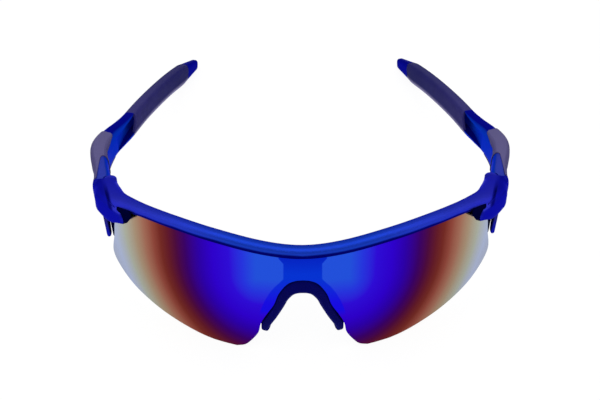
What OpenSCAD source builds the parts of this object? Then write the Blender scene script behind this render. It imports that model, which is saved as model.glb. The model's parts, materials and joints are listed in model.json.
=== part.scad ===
// Half-frame sports sunglasses: one wraparound shield lens under a brow bar, a soft nose pad on a
// bridge bracket, and two folding arms with soft shoulder pads and ear socks.
// X runs across the face, Y from the lens to the arm tips, Z up. The sunglasses stand on the two
// lens lobes and the arm tips, and the origin is on that surface, at the middle of width and depth.

/* [Lens] */
// Plan radius of the lens, at its outer face
lens_plan_r = 78; // [75:0.5:82]
// Radius of the lens from top to bottom, at its outer face
lens_side_r = 260; // [200:5:400]
// Height at which the lens stands furthest forward
lens_belly_z = 38; // [34:1:42]
// Thickness of the lens
lens_t = 1.8; // [1.4:0.1:2]
// Half width of the lens, straight across
lens_half_w = 63.9; // [63:0.1:64.6]
// Depth of lens held in the groove of the brow bar
lens_hold = 1.6; // [1.2:0.1:2]
// Inner end of the flat stretch that each lens lobe stands on
lobe_in_x = 21.5; // [20:0.1:23]
// Outer end of the flat stretch that each lens lobe stands on
lobe_out_x = 29; // [27:0.1:31]
// Gap all round between the lens and what holds it
lens_gap = 0.15; // [0.1:0.01:0.2]

/* [Brow frame] */
// Height of the middle of the brow bar
brow_z = 47.1; // [46.5:0.1:48]
// Rise of the brow bar above each eye
brow_rise = 2.8; // [1.5:0.1:3.5]
// Thickness of the brow bar, from front to back
bar_t = 3.9; // [3.7:0.1:4.6]
// Height of the brow bar's section
bar_h = 3.9; // [3.7:0.1:4.8]
// Width of the post that joins the bridge bracket to the bar
post_w = 12.6; // [11:0.1:14]
// Thickness of the bridge bracket
bracket_t = 2; // [1.6:0.1:2.4]
// Gap between the lens and the bridge bracket behind it
bracket_gap = 0.3; // [0.2:0.05:0.5]
// Width of each leg of the bridge bracket
bracket_leg_w = 4.2; // [3.6:0.1:4.8]
// Height of the outer lobe of each end lug, at the hinge
lug_h = 8.6; // [8.2:0.1:9.4]
// Thickness of each claw over a top corner of the lens
claw_t = 2.6; // [2.2:0.1:3.2]
// Length of the prong behind each outer end of the lens
prong_len = 12; // [10:0.5:14]

/* [Nose pad] */
// Height of the top of the nose cut-out in the lens
nose_top_z = 35.4; // [34:0.1:36]
// Width of the nose pad's band, as seen from the front
pad_band = 3.1; // [2.6:0.1:3.6]
// Depth of the nose pad from front to back
pad_depth = 8.6; // [7:0.1:10]
// Sideways flare of the pad's legs towards the face
pad_flare = 1.6; // [0.8:0.1:2.2]
// Gap between the nose pad and the bracket that it slides on
pad_gap = 0.08; // [0.04:0.01:0.15]

/* [Lens catches] */
// Thickness of the black catch behind each outer end of the lens
catch_t = 1.6; // [1.3:0.1:1.8]
// Length of the leg of each catch, down from the lug
catch_leg = 14; // [10:0.5:16]
// Thickness of the black pad in each claw
claw_pad_t = 1.9; // [1.4:0.1:2.2]
// Gap between a catch or claw pad and the moulding round it
seat_gap = 0.08; // [0.05:0.01:0.12]

/* [Hinge] */
// Distance of each hinge axis inside the outer end of the lens
hinge_in = 1.3; // [0.9:0.1:1.7]
// Distance of the hinge axes behind the outer ends of the lens
hinge_behind = 7.73; // [7.2:0.01:8.4]
// Distance of the middle of the hinge knuckles below the middle of the brow bar
hinge_drop = 10.3; // [9.8:0.1:10.8]
// Radius of the hinge knuckles
knuckle_r = 2.2; // [2:0.05:2.5]
// Height of the arm's middle knuckle
knuckle_h = 4.8; // [4:0.1:5.4]
// Height of each ear above and below the middle knuckle
ear_h = 2.85; // [2.5:0.05:3.1]
// Radius of the hinge screw's shank
screw_r = 0.7; // [0.6:0.05:0.8]
// Running gap between the screw and the knuckle that turns on it
screw_gap = 0.05; // [0.02:0.01:0.08]
// Radius of the hinge screw's head
head_r = 1.25; // [1.1:0.05:1.4]
// Height of the hinge screw's head
head_h = 0.9; // [0.7:0.05:1.1]
// Radius of the threaded insert that the screw turns into
insert_r = 1.2; // [1.05:0.05:1.35]
// Height of the threaded insert
insert_h = 2; // [1.6:0.05:2.2]
// Gap between the end faces of the lug and the arm, and round the knuckles
joint_gap = 0.3; // [0.2:0.05:0.4]
// Gap between the flat faces of the knuckles
knuckle_gap = 0.15; // [0.1:0.01:0.2]

/* [Arms] */
// Length of each arm from the hinge to its tip
arm_len = 131; // [127:0.5:135]
// Distance of the middle of each arm's neck outside its hinge axis
neck_out = 3.2; // [3:0.1:3.6]
// Outward bow of each arm at the shoulder
shoulder_bow = 3.1; // [2:0.1:4]
// Distance that each arm tip lies inside the neck of its arm
tip_inset = 18.6; // [15:0.1:21]
// Thickness of the arm at the neck
neck_t = 4.8; // [4.4:0.1:5.6]
// Height of the arm at the neck
neck_h = 9.6; // [9:0.1:10.4]
// Thickness of the arm at the shoulder
shoulder_t = 6.8; // [6:0.1:7.6]
// Height of the arm at the shoulder
shoulder_h = 10.2; // [9.6:0.1:11]
// Thickness of the arm over the ear, with its sock
ear_t = 5.3; // [4.8:0.1:5.8]
// Height of the arm over the ear, with its sock
sock_h = 8.7; // [8:0.1:9.2]
// Thickness of the bare arm tip at its end
tip_t = 3.4; // [3:0.1:4]
// Height of the bare arm tip at its end
tip_h = 4.8; // [4:0.1:5.4]
// Length of the hollow in the inner face of each arm
hollow_len = 24; // [18:0.5:27]
// Depth of the hollow in the inner face of each arm
hollow_depth = 0.8; // [0.4:0.1:1.2]

/* [Soft grips] */
// Distance of the front end of the ear sock behind the hinge
sock_start = 46; // [43:0.5:50]
// Length of bare arm tip that stands out of the ear sock
bare_tip = 14; // [12:0.1:16]
// Wall of the ear sock
sock_t = 1.1; // [0.8:0.1:1.3]
// Distance of the rear end of the shoulder pad behind the hinge
grip_end = 28; // [25:0.5:31]
// Thickness of the shoulder pad
grip_t = 1.5; // [1.2:0.1:1.8]
// Height that the shoulder pad stands out of the arm
grip_proud = 0.3; // [0.2:0.05:0.5]
// Gap between a soft grip and the arm that it is bonded to
grip_gap = 0.04; // [0.02:0.01:0.08]

/* [Hidden] */
$fn = 64;
// Sides of the lens' curves, which keep a facet well inside the gaps round what it seats
lens_fn = 180;
// Length of shapes that only cut, past everything that they cut
far = 200;
// Sides of each swept section
sides = 14;
// Steps between two stations of a swept shape
steps = 3;
frame_blue = [0.1, 0.22, 0.78];
arm_blue = [0.08, 0.12, 0.62];
rubber_grey = [0.3, 0.29, 0.48];
rubber_navy = [0.02, 0.02, 0.32];
black = [0.03, 0.03, 0.08];

bar_front = bar_t / 2 - lens_t / 2 - 0.2;
hinge_x = lens_half_w - hinge_in;
hinge_z = brow_z - hinge_drop;
hinge_back = lens_plan_r - sqrt(pow(lens_plan_r, 2) - pow(lens_half_w, 2)) + hinge_behind;
front_y = bar_front - (bar_front + hinge_back + arm_len) / 2;
hinge_y = front_y + hinge_back;
ear_start = knuckle_h / 2 + knuckle_gap;
arm_drop = hinge_z - tip_h / 2;

// Smooth curve through stations of any kind
function catmull(a, b, c, d, t) =
    0.5 * (2 * b + (c - a) * t + (2 * a - 5 * b + 4 * c - d) * t * t + (3 * b - a - 3 * c + d) * t * t * t);
function before(p, i) = i > 0 ? p[i - 1] : 2 * p[0] - p[1];
function after(p, i) = i < len(p) - 1 ? p[i + 1] : 2 * p[len(p) - 1] - p[len(p) - 2];
function smooth(p) = concat(
    [for (i = [0 : len(p) - 2]) for (k = [0 : steps - 1])
        catmull(before(p, i), p[i], p[i + 1], after(p, i + 1), k / steps)],
    [p[len(p) - 1]]);
function reversed(p) = [for (i = [len(p) - 1 : -1 : 0]) p[i]];
function unit(v) = v / norm(v);
function bent(c, power) = sign(c) * pow(abs(c), power);

// A station is a place, a thickness, a height and a slant: [x, y, z, t, h, slant]. The thickness
// lies square to the way of travel and to the reference direction, and the height square to both.
function place(s) = [s[0], s[1], s[2]];
function station(c, t, h) = [c[0], c[1], c[2], t, h, 0];
function heading(p, i) = unit(place(after(p, i)) - place(before(p, i)));
function ring(p, i, inset = 0, move = 0, ref = [0, 0, 1], power = 0.6, lean = 0) =
    let (ahead = heading(p, i), side = unit(cross(ahead, ref)), up = cross(side, ahead),
        t = p[i][3] - 2 * inset, h = p[i][4] - 2 * inset)
    [for (k = [0 : sides - 1])
        let (u = bent(cos(360 * k / sides), power) / 2, v = bent(sin(360 * k / sides), power) / 2)
        place(p[i]) + side * (t * u - lean * (v + 0.5)) + up * h * v + ahead * (move + p[i][5] * h * v)];
function rings(p, inset = 0, ref = [0, 0, 1], power = 0.6, lean = 0) =
    [for (i = [0 : len(p) - 1]) ring(p, i, inset, 0, ref, power, lean)];
// Stations that close the end of a run with a dome of the given length
function dome(p, last, length) =
    let (i = last ? len(p) - 1 : 0, way = last ? 1 : -1, ahead = heading(p, i))
    [for (q = [30, 55, 75])
        let (c = place(p[i]) + way * length * sin(q) * ahead)
        [c[0], c[1], c[2], p[i][3] * cos(q), p[i][4] * cos(q), 0]];
function mirrored(p) = reversed([for (s = p) if (s[0] > 0) [-s[0], s[1], s[2], s[3], s[4], -s[5]]]);

// Solid swept through rings of points. A closed one joins its last ring to its first.
module skin(r, closed = false) {
    n = len(r[0]);
    m = len(r);
    last = closed ? m - 1 : m - 2;
    walls = [for (i = [0 : last]) for (k = [0 : n - 1])
        let (e = (k + 1) % n, j = (i + 1) % m, a = i * n + k, b = i * n + e, c = j * n + e, d = j * n + k)
        each [[a, b, c], [a, c, d]]];
    caps = closed ? [] : [[for (k = [n - 1 : -1 : 0]) k], [for (k = [0 : n - 1]) (m - 1) * n + k]];
    polyhedron(points = [for (s = r) each s], faces = concat(walls, caps));
}

// Lens surface. An offset is counted outwards from the outer face.
function lens_fall(z) = lens_side_r - sqrt(pow(lens_side_r, 2) - pow(z - lens_belly_z, 2));
function lens_at(x, z, out) =
    let (r = lens_plan_r - lens_fall(z) + out)
    [x, front_y + lens_plan_r - sqrt(r * r - x * x), z];

module lens_shell(inner, outer) {
    translate([0, front_y + lens_plan_r, 0])
    rotate_extrude($fn = lens_fn)
    intersection() {
        translate([lens_plan_r - lens_side_r, lens_belly_z])
        difference() {
            circle(r = lens_side_r + outer, $fn = 2 * lens_fn);
            circle(r = lens_side_r + inner, $fn = 2 * lens_fn);
        }
        translate([lens_plan_r / 2, -5])
        square([lens_plan_r, brow_z + 18]);
    }
}

// Flat outline in X and Z, carried through the front half of the part
module from_front() {
    translate([0, front_y + lens_plan_r - 25, 0])
    rotate([90, 0, 0])
    linear_extrude(height = lens_plan_r)
    children();
}

// Stations of the brow bar: share of the lens' half width and of the bar's rise
brow_path = [[0, 0], [0.188, 0.35], [0.413, 0.95], [0.604, 1], [0.743, 0.6]];
brow_half = concat(
    [for (b = brow_path)
        station(lens_at(b[0] * lens_half_w, brow_z + brow_rise * b[1], -lens_t / 2), bar_t, bar_h)],
    [station(lens_at(lens_half_w - 10.6, brow_z + 0.1, -lens_t / 2), bar_t + 0.5, bar_h + 0.6),
     station(lens_at(lens_half_w - 6.2, brow_z - 2.2, -lens_t / 2), bar_t + 2.2, bar_h + 2.2),
     station(lens_at(lens_half_w - 2.5, brow_z - 5.5, -lens_t), bar_t + 4.4, bar_h + 4.4),
     [hinge_x + 0.7, hinge_y - 3.6, hinge_z + 2.2, 2 * knuckle_r + 4.2, neck_h, 0],
     [hinge_x + 2, hinge_y + 1, hinge_z + 0.7, 2 * knuckle_r + 3.6, neck_h, 0]]);
brow_run = smooth(concat(mirrored(brow_half), brow_half));
claw_half = smooth([
    station(lens_at(lens_half_w - 7.7, brow_z - 4.2, 1.55), claw_t - 0.3, 4.8),
    station(lens_at(lens_half_w - 5.1, brow_z - 5, 1.6), claw_t, 6.6),
    station(lens_at(lens_half_w - 2.1, brow_z - 6.5, 1.55), claw_t, 8.2),
    station(lens_at(lens_half_w + 0.9, brow_z - 7.2, 1.45), claw_t + 0.2, 7),
    [hinge_x + 2.9, hinge_y - 5, hinge_z + 1.8, 3.6, lug_h - 1.6, 0],
    [hinge_x + 3.9, hinge_y - 1.2, hinge_z + 1.5, 3.8, lug_h, 0],
    [hinge_x + 4, hinge_y + 1, hinge_z + 1.5, 3.8, lug_h, 0]]);
claw_run = concat(reversed(dome(claw_half, false, 1.5)), claw_half);
prong_x = hinge_x + 2.35;
prong_y = hinge_y - 3.7;
prong_z = hinge_z - 4.2;
prong_half = smooth([
    [prong_x, prong_y, prong_z + 2.6, 2.8, 4.4, 0],
    [prong_x, prong_y, prong_z, 1.9, 4, 0],
    [prong_x, prong_y, prong_z - prong_len / 2, 1.6, 3.4, 0],
    [prong_x, prong_y, prong_z - prong_len + 1.2, 1.5, 2.8, 0]]);
prong_run = concat(prong_half, dome(prong_half, true, 1.2));

// Lower edge of the lens outside its lobe: share of its half width and of the brow bar's height
lower_edge = [[0.523, 0.013], [0.635, 0.047], [0.7355, 0.0786],
              [0.8138, 0.1083], [0.8889, 0.1401], [0.9452, 0.1868]];
// Outer edge of the lens: distance in from its outer end and share of the brow bar's height
outer_edge = [[0.7, 0.2548], [0, 0.3291], [0.6, 0.4246], [2.2, 0.5732], [3.4, 0.7219]];
function both_sides(p) = concat(p, reversed([for (q = p) if (q[0] > 0) [-q[0], q[1]]]));
lens_edge = concat(
    smooth([[0, nose_top_z + 0.9], [2.4, nose_top_z + 0.5], [4.9, nose_top_z - 1.2], [7.4, nose_top_z - 5.6],
        [8.9, nose_top_z - 10.7], [11.4, nose_top_z - 16], [13.2, nose_top_z - 20.6],
        [14.1, 9.8], [16.3, 5.2], [18.6, 1.7], [lobe_in_x, 0]]),
    smooth(concat([[lobe_out_x, 0]],
        [for (e = lower_edge) [e[0] * lens_half_w, e[1] * brow_z]],
        [for (e = outer_edge) [lens_half_w - e[0], e[1] * brow_z]],
        [[lens_half_w - 4.8, brow_z - 8.6], [lens_half_w - 7.8, brow_z - 4.6]])),
    reversed([for (s = brow_run) if (s[0] >= 0 && s[0] < lens_half_w - 9)
        [s[0], s[2] - bar_h / 2 + lens_hold]]));

module lens_body(gap) {
    intersection() {
        lens_shell(-lens_t - gap, gap);
        from_front()
        offset(delta = gap)
        polygon(both_sides(lens_edge));
    }
}

module shield_lens() {
    color([0.25, 0.15, 0.8])
    intersection() {
        lens_shell(-lens_t, 0);
        from_front()
        polygon(both_sides(lens_edge));
    }
}

// Bridge bracket, behind the middle of the lens
module bracket_outline(grow) {
    bar_low = brow_z - bar_h / 2;
    outer = smooth([[post_w / 2 + 2.6, bar_low + 0.6], [post_w / 2 + 0.8, bar_low - 0.8],
        [post_w / 2, bar_low - 3.6], [post_w / 2, nose_top_z - 0.8], [9.2, nose_top_z - 4.6],
        [11.8, nose_top_z - 11.2], [13.4, nose_top_z - 16.6], [13.9, nose_top_z - 21.2]]);
    inner = smooth([[13.2, 12], [12, 11.4], [11.1, 13], [13.4 - bracket_leg_w, nose_top_z - 16.8],
        [11.8 - bracket_leg_w, nose_top_z - 10.8], [9.2 - bracket_leg_w, nose_top_z - 6.2],
        [3, nose_top_z - 3.6], [0, nose_top_z - 2.9]]);
    offset(delta = grow)
    polygon(both_sides(concat([[0, bar_low + 1.7], [post_w / 2 + 2.6, bar_low + 1.7]], outer, inner)));
}

module bridge_bracket(grow) {
    back = -lens_t - bracket_gap;
    intersection() {
        lens_shell(back - bracket_t - grow, back + grow);
        from_front()
        bracket_outline(grow);
    }
}

// Black pieces that hold the outer ends of the lens
module claw_pad_solid(grow) {
    x = lens_half_w;
    z = brow_z;
    intersection() {
        lens_shell(lens_gap - grow, lens_gap + claw_pad_t + grow);
        from_front()
        offset(delta = grow)
        polygon([[x - 6.4, z - 1], [x - 10.9, z + 0.2], [x - 11.4, z - 0.1], [x - 11, z - 1.9],
            [x - 9.7, z - 4.3], [x - 8.2, z - 6], [x - 6, z - 4.6]]);
    }
}

module lens_catch_solid(grow) {
    x = lens_half_w;
    z = brow_z;
    face = -lens_t - lens_gap;
    foot = hinge_z - 2.4 - catch_leg;
    intersection() {
        lens_shell(face - catch_t - grow, face + grow);
        from_front()
        offset(delta = grow)
        polygon([[x - 9.1, z - 3], [x - 5.4, z - 4.2], [x - 2.9, z - 7.2], [x - 2, z - 11],
            [x - 2, hinge_z - 6.2], [x - 0.1, hinge_z - 6.6], [x, foot],
            [x - 3.4, foot], [x - 4.4, z - 14], [x - 6.6, z - 10.4], [x - 9.1, z - 9]]);
    }
}

// Hinge
module in_ear(low, high, r) {
    translate([hinge_x, hinge_y, low])
    cylinder(r = r, h = high - low);
}

module lug_solids() {
    difference() {
        union() {
            skin(rings(claw_run));
            skin(rings(prong_run, ref = [0, 1, 0]));
        }
        end_face(-joint_gap / 2, 1);
    }
    for (low = [hinge_z + ear_start, hinge_z - ear_start - ear_h])
        translate([hinge_x, hinge_y, low])
        linear_extrude(height = ear_h) {
            circle(r = knuckle_r);
            translate([-0.98 * knuckle_r, -2 * knuckle_r])
            square([1.96 * knuckle_r, 2 * knuckle_r]);
        }
}

// Everything on one side of a plane square to Y, at a distance from the hinge axis
module end_face(at, way) {
    translate([0, hinge_y + at + (way > 0 ? 0 : -far), -far / 2])
    cube([far, far, far]);
}

// Room for the arm's knuckle and the web behind it
module knuckle_room() {
    translate([hinge_x, hinge_y, hinge_z - ear_start])
    linear_extrude(height = 2 * ear_start) {
        circle(r = knuckle_r + joint_gap);
        translate([-far, -knuckle_r - joint_gap])
        square([far, far]);
    }
}

// Bores for the screw, its head and the threaded insert
module screw_bores() {
    in_ear(hinge_z - ear_start - ear_h - 1, hinge_z, screw_r + screw_gap);
    in_ear(hinge_z - ear_start - ear_h - 1, hinge_z - ear_start - ear_h + head_h + seat_gap, head_r + seat_gap);
    in_ear(hinge_z, hinge_z + ear_start + insert_h + seat_gap, insert_r + seat_gap);
}

module both(side) {
    if (side < 0) mirror([1, 0, 0]) children();
    else children();
}

// Free-form body of the frame, taken at its own size as one surface
module moulding() {
    resize([0, 0, 0])
    difference() {
        union() {
            difference() {
                skin(rings(brow_run));
                for (side = [-1, 1])
                    both(side)
                    end_face(-joint_gap / 2, 1);
            }
            for (side = [-1, 1])
                both(side)
                lug_solids();
            bridge_bracket(0);
        }
        lens_body(lens_gap);
        for (side = [-1, 1])
            both(side) {
                knuckle_room();
                claw_pad_solid(seat_gap);
                lens_catch_solid(seat_gap);
            }
    }
}

module brow_frame() {
    color(frame_blue)
    difference() {
        moulding();
        for (side = [-1, 1])
            both(side)
            screw_bores();
    }
}

module nose_pad() {
    // Distance from the middle, distance below the top of the cut-out, and share of the band's width
    path = [[0, 2, 1.95], [3.7, 3.5, 1.6], [6.1, 7.2, 1.3], [7.5, 11.4, 1.12],
            [9.6, 16.6, 1.08], [11.6, 21, 1.05], [12, 23.2, 0.95]];
    half = [for (m = path)
        station(lens_at(m[0], nose_top_z - m[1], 0.4 - pad_depth / 2), pad_band * m[2], pad_depth)];
    run = smooth(concat(mirrored(half), half));
    color(rubber_navy)
    resize([0, 0, 0])
    difference() {
        skin(rings(concat(reversed(dome(run, false, 1.6)), run, dome(run, true, 1.6)),
            ref = [0, 1, 0], power = 0.5, lean = pad_flare));
        lens_body(lens_gap);
        bridge_bracket(pad_gap);
    }
}

module claw_pad() {
    color(black)
    claw_pad_solid(0);
}

module lens_catch() {
    color(black)
    lens_catch_solid(0);
}

// Arms
function arm_station(back, out, up, t, h, slant = 0) =
    [hinge_x + neck_out + out, hinge_y + back, hinge_z + up, t, h, slant];
// Stations under the ear sock: share of the arm's length, of its inset and of its drop
ear_path = [[0.462, 0.245, 0.313], [0.585, 0.392, 0.461], [0.723, 0.567, 0.641], [0.846, 0.735, 0.817]];
arm_stations = concat(
    [arm_station(-1, 0, 0.7, neck_t + 0.7, neck_h),
     arm_station(3, 0, 0.8, neck_t + 0.4, neck_h),
     arm_station(9, 0.4 * shoulder_bow, 1, neck_t, neck_h),
     arm_station(15, 0.85 * shoulder_bow, 0.7, (neck_t + shoulder_t) / 2, (neck_h + shoulder_h) / 2),
     arm_station(22, shoulder_bow, -0.6, shoulder_t, shoulder_h),
     arm_station(30, 0.57 * shoulder_bow, -2.4,
        (2 * shoulder_t + ear_t) / 3, (2 * shoulder_h + sock_h) / 3, 0.1),
     arm_station(38, -0.017 * tip_inset, -0.134 * arm_drop, (shoulder_t + 2 * ear_t) / 3, sock_h + 0.4, 0.35),
     arm_station(sock_start, -0.119 * tip_inset, -0.195 * arm_drop, ear_t + 0.2, sock_h + 0.1, 0.5)],
    [for (e = ear_path)
        arm_station(e[0] * arm_len, -e[1] * tip_inset, -e[2] * arm_drop, ear_t, sock_h, 0)],
    [arm_station(arm_len - bare_tip, -0.808 * tip_inset, -0.882 * arm_drop, ear_t - 0.4, sock_h - 1),
     arm_station(arm_len - 1.5, -tip_inset, -arm_drop, tip_t, tip_h)]);
arm_run = smooth(arm_stations);
sock_first = 7 * steps;
sock_last = sock_first + (len(ear_path) + 1) * steps;
arm_last = len(arm_run) - 1;
tip_dome = dome(arm_run, true, 1.5);

// Plan outline of the shoulder pad, which leaves a rounded tongue of bare arm behind the hinge
module grip_outline(grow) {
    tongue_x = neck_out;
    tongue_y = 10.8;
    tongue_r = 1.5;
    translate([hinge_x, hinge_y])
    offset(delta = grow)
    polygon(concat(
        [[far, 0.8], [tongue_x + tongue_r, 0.8]],
        [for (a = [0 : 20 : 180]) [tongue_x + tongue_r * cos(a), tongue_y + tongue_r * sin(a)]],
        [[tongue_x - 0.2, tongue_y + 3.4], [neck_out + 0.2, tongue_y + 6], [neck_out, grip_end - 0.8],
         [neck_out + 0.5, grip_end], [neck_out + 5, grip_end + 2.4], [far, grip_end + 3]]));
}

module grip_zone(grow) {
    linear_extrude(height = far)
    grip_outline(grow);
}

module arm_shoulder(inset) {
    skin([for (i = [0 : sock_first]) ring(arm_run, i, inset)]);
}

module arm() {
    color(arm_blue)
    difference() {
        union() {
            difference() {
                skin(concat(
                    [for (i = [0 : sock_first]) ring(arm_run, i)],
                    [for (i = [sock_first : sock_last]) ring(arm_run, i, sock_t)],
                    [for (i = [sock_last : arm_last]) ring(arm_run, i, grip_gap)],
                    rings(tip_dome, grip_gap)));
                end_face(joint_gap / 2, -1);
                in_ear(0, hinge_z - knuckle_h / 2, knuckle_r + joint_gap);
                in_ear(hinge_z + knuckle_h / 2, far, knuckle_r + joint_gap);
                difference() {
                    grip_zone(grip_gap);
                    arm_shoulder(grip_t - grip_proud + grip_gap);
                }
                hollow();
            }
            in_ear(hinge_z - knuckle_h / 2, hinge_z + knuckle_h / 2, knuckle_r);
            web();
        }
        in_ear(0, far, screw_r + screw_gap);
    }
}

// Web from the middle knuckle to the neck of the arm
module web() {
    translate([hinge_x, hinge_y, hinge_z - knuckle_h / 2])
    linear_extrude(height = knuckle_h)
    polygon([[-0.97 * knuckle_r, 0.1], [0.97 * knuckle_r, 0.1],
        [neck_out, 1], [neck_out, 6.5], [neck_out - 2, 6.5]]);
}

// Shallow hollow in the inner face of the arm
module hollow() {
    r = (pow(hollow_len, 2) / 4 + pow(hollow_depth, 2)) / (2 * hollow_depth);
    face_x = hinge_x + neck_out + 0.5 * shoulder_bow - 0.45 * shoulder_t;
    translate([face_x + hollow_depth - r, hinge_y + (grip_end + sock_start) / 2 - 5, hinge_z - 3])
    rotate([-11, 0, 0])
    cylinder(r = r, h = 0.6 * shoulder_h, center = true, $fn = 180);
}

module shoulder_pad() {
    color(rubber_grey)
    intersection() {
        difference() {
            arm_shoulder(-grip_proud);
            arm_shoulder(grip_t - grip_proud);
        }
        grip_zone(0);
    }
}

module ear_sock() {
    color(rubber_grey)
    skin(concat(
        [ring(arm_run, sock_first, 0, grip_gap)],
        [for (i = [sock_first + 1 : sock_last - 1]) ring(arm_run, i)],
        [ring(arm_run, sock_last, 0, -grip_gap), ring(arm_run, sock_last, sock_t - grip_gap, -grip_gap)],
        [for (i = [sock_last - 1 : -1 : sock_first + 1]) ring(arm_run, i, sock_t - grip_gap)],
        [ring(arm_run, sock_first, sock_t - grip_gap, grip_gap)]), closed = true);
}

module hinge_screw() {
    low = hinge_z - ear_start - ear_h;
    color([0.6, 0.6, 0.62])
    difference() {
        union() {
            in_ear(low, low + head_h, head_r);
            in_ear(low, hinge_z + ear_start + insert_h, screw_r);
        }
        // Slot for a screwdriver
        translate([hinge_x - head_r, hinge_y - 0.15, low - 1])
        cube([2 * head_r, 0.3, 1.35]);
    }
}

module thread_insert() {
    low = hinge_z + ear_start;
    color([0.75, 0.6, 0.25])
    difference() {
        in_ear(low, low + insert_h, insert_r);
        in_ear(low - 1, low + insert_h + 1, screw_r + screw_gap);
    }
}

brow_frame();
shield_lens();
nose_pad();
both(-1) claw_pad();  // left_claw_pad
both(1) claw_pad();  // right_claw_pad
both(-1) lens_catch();  // left_lens_catch
both(1) lens_catch();  // right_lens_catch
both(-1) arm();  // left_arm
both(1) arm();  // right_arm
both(-1) shoulder_pad();  // left_shoulder_pad
both(1) shoulder_pad();  // right_shoulder_pad
both(-1) ear_sock();  // left_ear_sock
both(1) ear_sock();  // right_ear_sock
both(-1) hinge_screw();  // left_hinge_screw
both(1) hinge_screw();  // right_hinge_screw
both(-1) thread_insert();  // left_thread_insert
both(1) thread_insert();  // right_thread_insert
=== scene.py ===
"""Looks of a pair of half-frame sports sunglasses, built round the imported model."""

import json
import math

import bpy
from bpy.props import FloatProperty, FloatVectorProperty, PointerProperty
from mathutils import Matrix, Vector

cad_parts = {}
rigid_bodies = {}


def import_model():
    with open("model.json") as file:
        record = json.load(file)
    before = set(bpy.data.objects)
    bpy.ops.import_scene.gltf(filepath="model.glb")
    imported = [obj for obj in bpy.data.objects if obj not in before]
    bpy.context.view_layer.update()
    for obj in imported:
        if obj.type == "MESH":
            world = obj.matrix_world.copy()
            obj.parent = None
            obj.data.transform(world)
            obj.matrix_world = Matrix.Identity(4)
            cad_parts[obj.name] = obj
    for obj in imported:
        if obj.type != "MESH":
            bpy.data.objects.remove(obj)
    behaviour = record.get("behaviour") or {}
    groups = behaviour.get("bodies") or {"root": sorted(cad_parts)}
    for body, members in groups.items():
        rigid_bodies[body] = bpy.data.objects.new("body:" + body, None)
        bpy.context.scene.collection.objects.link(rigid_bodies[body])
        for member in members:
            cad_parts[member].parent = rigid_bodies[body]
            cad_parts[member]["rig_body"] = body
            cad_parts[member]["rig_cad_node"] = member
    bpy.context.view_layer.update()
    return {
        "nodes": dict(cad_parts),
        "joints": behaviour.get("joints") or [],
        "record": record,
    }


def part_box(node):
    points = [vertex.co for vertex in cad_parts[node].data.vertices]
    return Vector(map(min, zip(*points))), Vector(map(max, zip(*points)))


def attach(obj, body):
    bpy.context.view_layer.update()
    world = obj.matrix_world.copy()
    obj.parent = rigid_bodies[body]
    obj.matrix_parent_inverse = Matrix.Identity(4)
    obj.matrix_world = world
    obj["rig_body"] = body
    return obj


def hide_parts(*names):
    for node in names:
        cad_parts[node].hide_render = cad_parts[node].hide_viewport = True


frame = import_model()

bl_info = {
    "name": "Sports Sunglasses",
    "version": (1, 0, 0),
    "blender": (4, 5, 0),
    "location": "View3D > Sidebar > Sunglasses",
    "description": "Models the frame, lens, pads and arms of half-frame sports sunglasses",
    "category": "Mesh",
}

# Shapes are modelled in millimetres and brought to metres at the end.
MM = 0.001
SIDES = ("left", "right")

# The hinge. Heights count from the middle of its barrel.
BARREL_R, ROOM_R = 2.2, 2.5
BORE_R, HEAD_R, INSERT_R = 0.75, 1.33, 1.28
KNUCKLE_TOP, EAR_LOW, EAR_T = 2.4, 2.55, 2.85
HEAD_TOP, INSERT_TOP = -4.42, 4.63
ARM_OUT = 3.2  # from the pin out to the middle of the arm

# Gaps
SEAM = 0.15  # half the seam between lug and arm
SNUG = 0.04  # round the rubber grips
SEAT = 0.08  # round what sits in the frame or on the bracket

# The bridge bracket's back and front, measured from the back of the lens
BRACKET = (2.3, 0.3)

# The camera, fitted to the photograph
PICTURE_WIDTH, FOCAL = 600, 958  # pixels
ELEVATION, TURN = 41, -0.7  # degrees
DISTANCE = 0.34  # metres


def colour(r, g, b):
    """Linear colour of a screen colour from 0 to 255."""
    return tuple((c / 255 / 12.92) if c < 10.3 else ((c / 255 + 0.055) / 1.055) ** 2.4 for c in (r, g, b))


# Sizes and colours


def length(name, text, mm):
    return FloatProperty(name=name, description=text, default=mm * MM, min=0, unit="LENGTH", precision=4)


def tint(name, text, r, g, b):
    return FloatVectorProperty(
        name=name, description=text, subtype="COLOR", size=3, min=0, max=1, default=colour(r, g, b)
    )


class SunglassesLens(bpy.types.PropertyGroup):
    plan_radius: length("Plan Radius", "Radius of the lens in plan, at its outer face", 78)
    side_radius: length("Side Radius", "Radius of the lens from top to bottom", 260)
    belly: length("Belly Height", "Height at which the lens stands furthest forward", 38)
    thickness: length("Thickness", "Thickness of the lens", 1.8)
    half_width: length("Half Width", "Half width of the lens, straight across", 63.9)
    gap: length("Gap", "Gap between the lens and what holds it", 0.15)
    middle: tint("Middle", "Mirror colour beside the nose", 34, 80, 218)
    violet: tint("Violet", "Mirror colour in front of the eyes", 46, 1, 203)
    wine: tint("Wine", "Mirror colour outside the violet", 58, 3, 102)
    rust: tint("Rust", "Mirror colour outside the wine", 117, 44, 38)
    sand: tint("Sand", "Mirror colour near the outer ends", 176, 152, 125)
    sky: tint("Sky", "Mirror colour at the outer ends", 198, 212, 250)


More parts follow.
